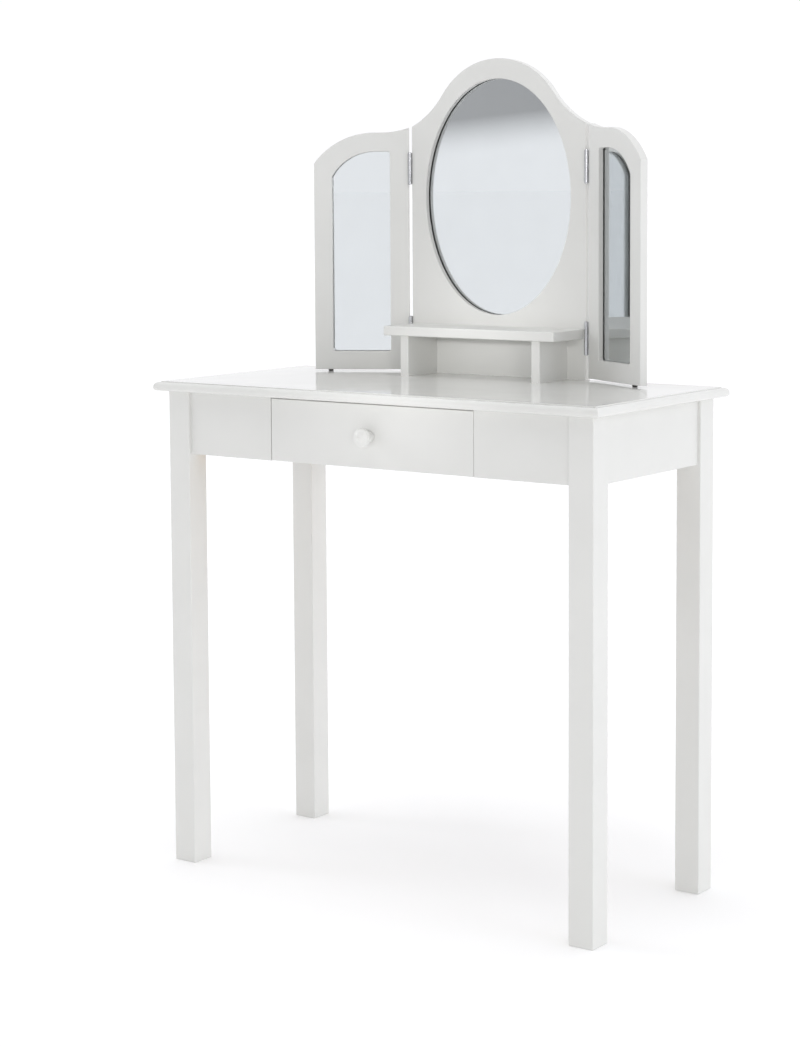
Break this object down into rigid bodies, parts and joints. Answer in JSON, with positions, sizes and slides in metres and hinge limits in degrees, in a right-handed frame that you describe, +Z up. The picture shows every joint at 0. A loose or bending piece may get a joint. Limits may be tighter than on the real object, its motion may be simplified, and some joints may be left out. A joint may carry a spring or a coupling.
{
  "type": "dressing table with mirror",
  "caption": "White painted dressing table on square legs, with a wooden-knobbed drawer and a crowned oval mirror between hinged folding side mirrors above a small shelf.",
  "frame": {"origin": "on the floor, under the middle of the leg frame", "axes": "+X along the front to the user's right, +Y towards the back, +Z up"},
  "size_m": [0.796, 0.386, 1.249],
  "materials": {
    "white_paint": "satin white paint on wood",
    "bare_wood": "planed, clear lacquer",
    "beech": "fluted, bare",
    "hardboard": "smooth one side",
    "mirror_glass": "polished, silvered behind",
    "nickel_plate": "polished nickel plate",
    "zinc_steel": "bright zinc plate",
    "nylon": "matte"
  },
  "bodies": {
    "table": {"back_apron": "white_paint", "bracket_screws": "zinc_steel", "clip_screws": "zinc_steel", "corner_brackets": "zinc_steel", "dowels": "beech", "drawer_runner_left": "bare_wood", "drawer_runner_right": "bare_wood", "front_panel_left": "white_paint", "front_panel_right": "white_paint", "front_rail_lower": "bare_wood", "front_rail_upper": "bare_wood", "hanger_bolts": "zinc_steel", "hanger_nuts": "zinc_steel", "hinge_fixed_leaves_left": "nickel_plate", "hinge_fixed_leaves_right": "nickel_plate", "hinge_fixed_screws": "nickel_plate", "hinge_pins_left": "nickel_plate", "hinge_pins_right": "nickel_plate", "leg_back_left": "white_paint", "leg_back_right": "white_paint", "leg_front_left": "white_paint", "leg_front_right": "white_paint", "mirror_back": "hardboard", "mirror_back_screws": "zinc_steel", "mirror_frame": "white_paint", "mirror_glass": "mirror_glass", "mirror_screws": "zinc_steel", "rail_screws": "zinc_steel", "shelf_board": "white_paint", "shelf_bracket_left": "white_paint", "shelf_bracket_right": "white_paint", "shelf_screws": "zinc_steel", "side_apron_left": "white_paint", "side_apron_right": "white_paint", "tabletop": "white_paint", "top_clips": "zinc_steel"},
    "drawer": {"drawer_front": "white_paint", "drawer_side_left": "bare_wood", "drawer_side_right": "bare_wood", "drawer_back": "bare_wood", "drawer_stop": "bare_wood", "drawer_bottom": "hardboard", "drawer_dowels": "beech", "knob": "white_paint", "knob_screw": "zinc_steel"},
    "left_wing": {"hinge_moving_leaves_left": "nickel_plate", "hinge_moving_screws_left": "nickel_plate", "wing_back_left": "hardboard", "wing_back_screws_left": "zinc_steel", "wing_frame_left": "white_paint", "wing_glass_left": "mirror_glass", "wing_glide_left": "nylon"},
    "right_wing": {"hinge_moving_leaves_right": "nickel_plate", "hinge_moving_screws_right": "nickel_plate", "wing_back_right": "hardboard", "wing_back_screws_right": "zinc_steel", "wing_frame_right": "white_paint", "wing_glass_right": "mirror_glass", "wing_glide_right": "nylon"}
  },
  "joints": [
    {"name": "drawer_slide", "type": "slide", "parent": "table", "child": "drawer", "axis": [0, -1, 0], "range_m": [0, 0.2195]},
    {"name": "left_wing_hinge", "type": "hinge", "parent": "table", "child": "left_wing", "pos_m": [-0.164, 0.1685, 0.755], "axis": [0, 0, 1], "range_deg": [-29.5, 65.5]},
    {"name": "right_wing_hinge", "type": "hinge", "parent": "table", "child": "right_wing", "pos_m": [0.164, 0.1685, 0.755], "axis": [0, 0, -1], "range_deg": [-29.5, 65.5]}
  ]
}
